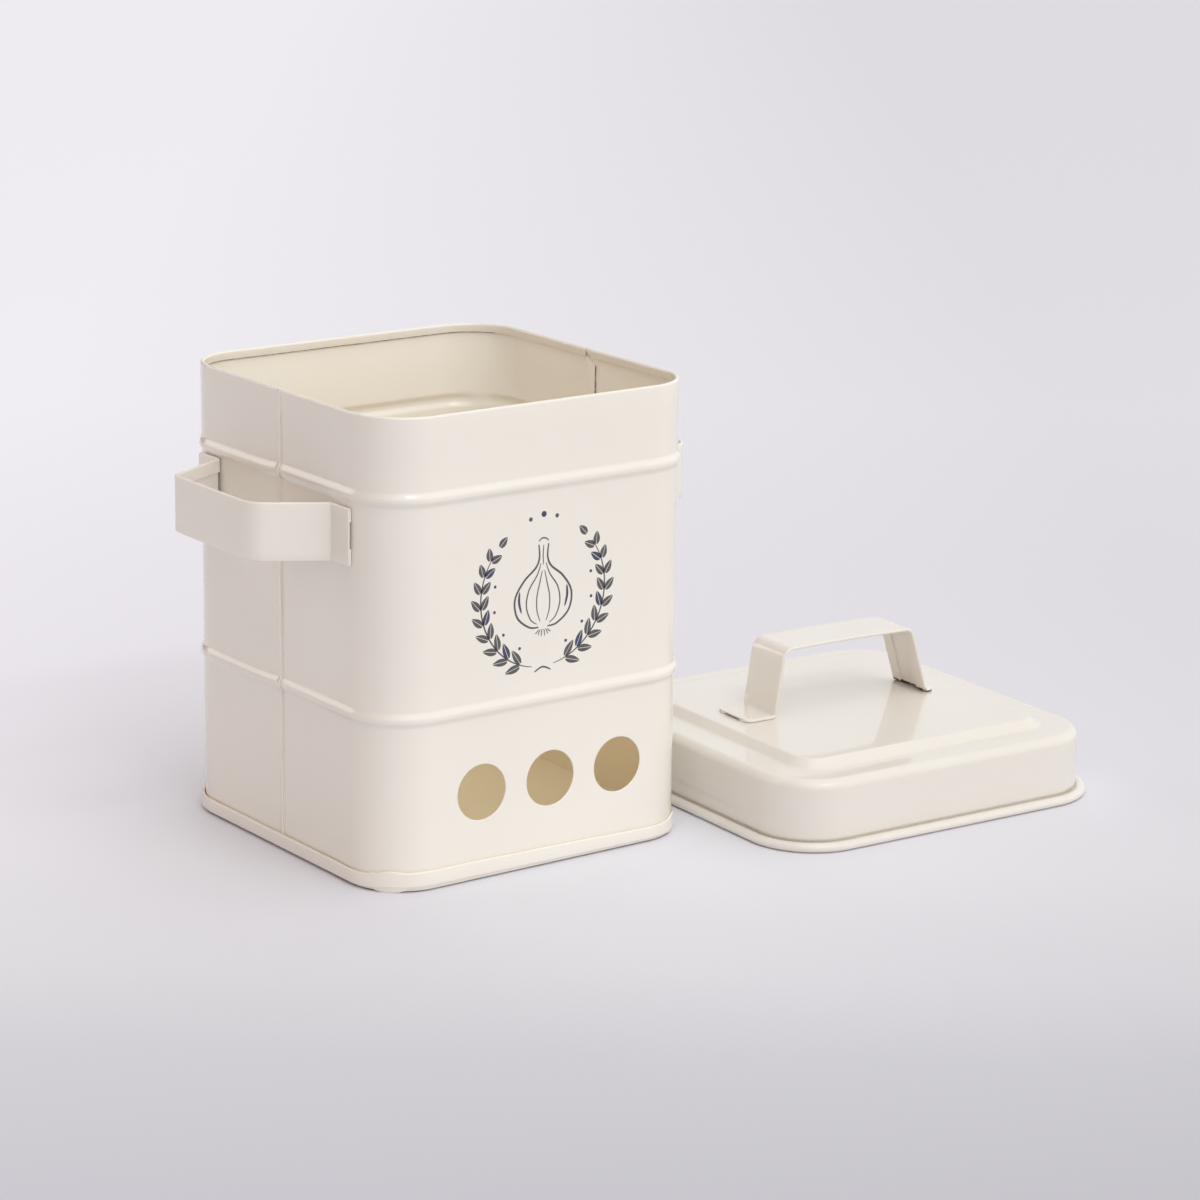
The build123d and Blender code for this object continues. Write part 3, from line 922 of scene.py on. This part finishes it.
CAMERA_YAW, CAMERA_PITCH, CAMERA_ROLL = 0.6384, 0.261, 0.0146
CAMERA_PLACE = (-0.72716, -1.07531, 0.42660)
CAMERA_LENS, CAMERA_SENSOR = 115.06, 36.0
BACKWARD = Vector((math.sin(CAMERA_YAW), math.cos(CAMERA_YAW), 0))
SIDEWARD = Vector((math.cos(CAMERA_YAW), -math.sin(CAMERA_YAW), 0))

FLOOR_REACH = 60.0
FLOOR_DEPTHS = (-0.33, 0.70)            # where the painted shade tones below begin and end
FLOOR_SHADE_TONES = ((0.0, (0.56, 0.565, 0.615)), (0.10, (0.615, 0.62, 0.665)),
               (0.17, (0.705, 0.705, 0.75)), (0.27, (0.77, 0.77, 0.815)),
               (0.42, (0.775, 0.77, 0.825)), (0.66, (0.79, 0.785, 0.845)),
               (1.0, (0.83, 0.83, 0.89)))
FLOOR_SIDES = (-0.25, 0.3)              # and where the floor's painted side light fades to painted shade, from left to right
FLOOR_SIDE_LIGHT = (1.13, 0.96)


def floor():
    """Pale seamless floor with painted shade: a little darker towards the front and the right."""
    mesh = bpy.data.meshes.new("floor")
    mesh.from_pydata([(x * FLOOR_REACH, y * FLOOR_REACH, 0)
                      for x, y in ((-1, -1), (1, -1), (1, 1), (-1, 1))], [], [(0, 1, 2, 3)])
    piece = bpy.data.objects.new("floor", mesh)
    bpy.context.scene.collection.objects.link(piece)
    material, nodes, links, shader, place = new_material("pale_floor_painted_shade")
    shader.inputs["Roughness"].default_value = 0.9
    shader.inputs["Specular IOR Level"].default_value = 0.1
    # painted shade and light: the floor's colour grades along the view and from side to side
    depth = distance_along(nodes, links, place, BACKWARD)
    tones = ramp(nodes, links, graded(nodes, links, depth, *FLOOR_DEPTHS), FLOOR_SHADE_TONES)
    aside = distance_along(nodes, links, place, SIDEWARD)
    lit = nodes.new("ShaderNodeVectorMath")
    lit.operation = "SCALE"
    links.new(tones, lit.inputs[0])
    links.new(graded(nodes, links, aside, *FLOOR_SIDES, *FLOOR_SIDE_LIGHT), lit.inputs["Scale"])
    links.new(lit.outputs["Vector"], shader.inputs["Base Color"])
    mesh.materials.append(material)


floor()


# ---------------------------------------------------------------- light

# name, azimuth, elevation, strength and width; angles in degrees
FAR_LAMPS = (("front", 28, 20, 0.27, 60), ("high", 10, 68, 0.38, 50), ("rim", 148, 17, 0.3, 25))
SOFTBOX_PLACE, SOFTBOX_TARGET = Vector((-0.03, -0.95, 1.12)), Vector((0.0, -0.06, 0.12))
SOFTBOX_SIZE = (0.8, 0.12)
SOFTBOX_WATTS = 1.9
WORLD_SIDEWARD = (0.8, -0.6, 0)         # from the dim side of the room to the bright one
WORLD_TONES = ((0.14, (0.20, 0.085, 0.03)), (0.48, (0.98, 0.99, 1.0)), (1.0, (1.12, 1.10, 1.07)))
WORLD_STRENGTHS = (0.86, 0.97)          # at the horizon and overhead


def add_lamp(data, place, way):
    """A lamp with this data at a place, shining along way."""
    lamp = bpy.data.objects.new(data.name, data)
    lamp.location = place
    lamp.rotation_euler = way.to_track_quat("-Z", "Y").to_euler()
    bpy.context.scene.collection.objects.link(lamp)


def far_lamp(name, azimuth, elevation, strength, width):
    """A far, wide lamp; azimuth runs from the front wall's side towards the left one."""
    data = bpy.data.lights.new(name, "SUN")
    data.energy = strength
    data.angle = math.radians(width)
    turn, lift = math.radians(azimuth), math.radians(elevation)
    place = Vector((-math.sin(turn) * math.cos(lift), -math.cos(turn) * math.cos(lift),
                    math.sin(lift)))
    add_lamp(data, place * 3, -place)


def softbox():
    """A long, low softbox in front, for the short glints on beads and edges."""
    data = bpy.data.lights.new("softbox", "AREA")
    data.shape = "ELLIPSE"
    data.size, data.size_y = SOFTBOX_SIZE
    data.energy = SOFTBOX_WATTS
    add_lamp(data, SOFTBOX_PLACE, SOFTBOX_TARGET - SOFTBOX_PLACE)


def studio():
    """A room that is bright all round, but for one dim, warm side."""
    world = bpy.data.worlds.new("studio")
    world.use_nodes = True
    nodes, links = world.node_tree.nodes, world.node_tree.links
    direction = nodes.new("ShaderNodeTexCoord").outputs["Generated"]
    parts = nodes.new("ShaderNodeSeparateXYZ")
    links.new(direction, parts.inputs["Vector"])
    sideways = distance_along(nodes, links, direction, WORLD_SIDEWARD)
    tones = ramp(nodes, links, graded(nodes, links, sideways, -1.0, 1.0), WORLD_TONES)
    links.new(tones, nodes["Background"].inputs["Color"])
    strength = graded(nodes, links, parts.outputs["Z"], 0.0, 1.0, *WORLD_STRENGTHS)
    links.new(strength, nodes["Background"].inputs["Strength"])
    bpy.context.scene.world = world


softbox()
for far in FAR_LAMPS:
    far_lamp(*far)
studio()


# ---------------------------------------------------------------- camera

def set_camera():
    """The camera, turned by its yaw, pitch and roll."""
    forward = BACKWARD * math.cos(CAMERA_PITCH) - Z_AXIS * math.sin(CAMERA_PITCH)
    upward = SIDEWARD.cross(forward)
    side = SIDEWARD * math.cos(CAMERA_ROLL) + upward * math.sin(CAMERA_ROLL)
    top = upward * math.cos(CAMERA_ROLL) - SIDEWARD * math.sin(CAMERA_ROLL)
    data = bpy.data.cameras.new("camera")
    data.sensor_width = CAMERA_SENSOR
    data.lens = CAMERA_LENS
    camera = bpy.data.objects.new("camera", data)
    axes = Matrix((side, top, -forward)).transposed().to_4x4()
    camera.matrix_world = Matrix.Translation(CAMERA_PLACE) @ axes
    bpy.context.scene.collection.objects.link(camera)
    bpy.context.scene.camera = camera


set_camera()
bpy.context.scene.view_settings.view_transform = "Standard"
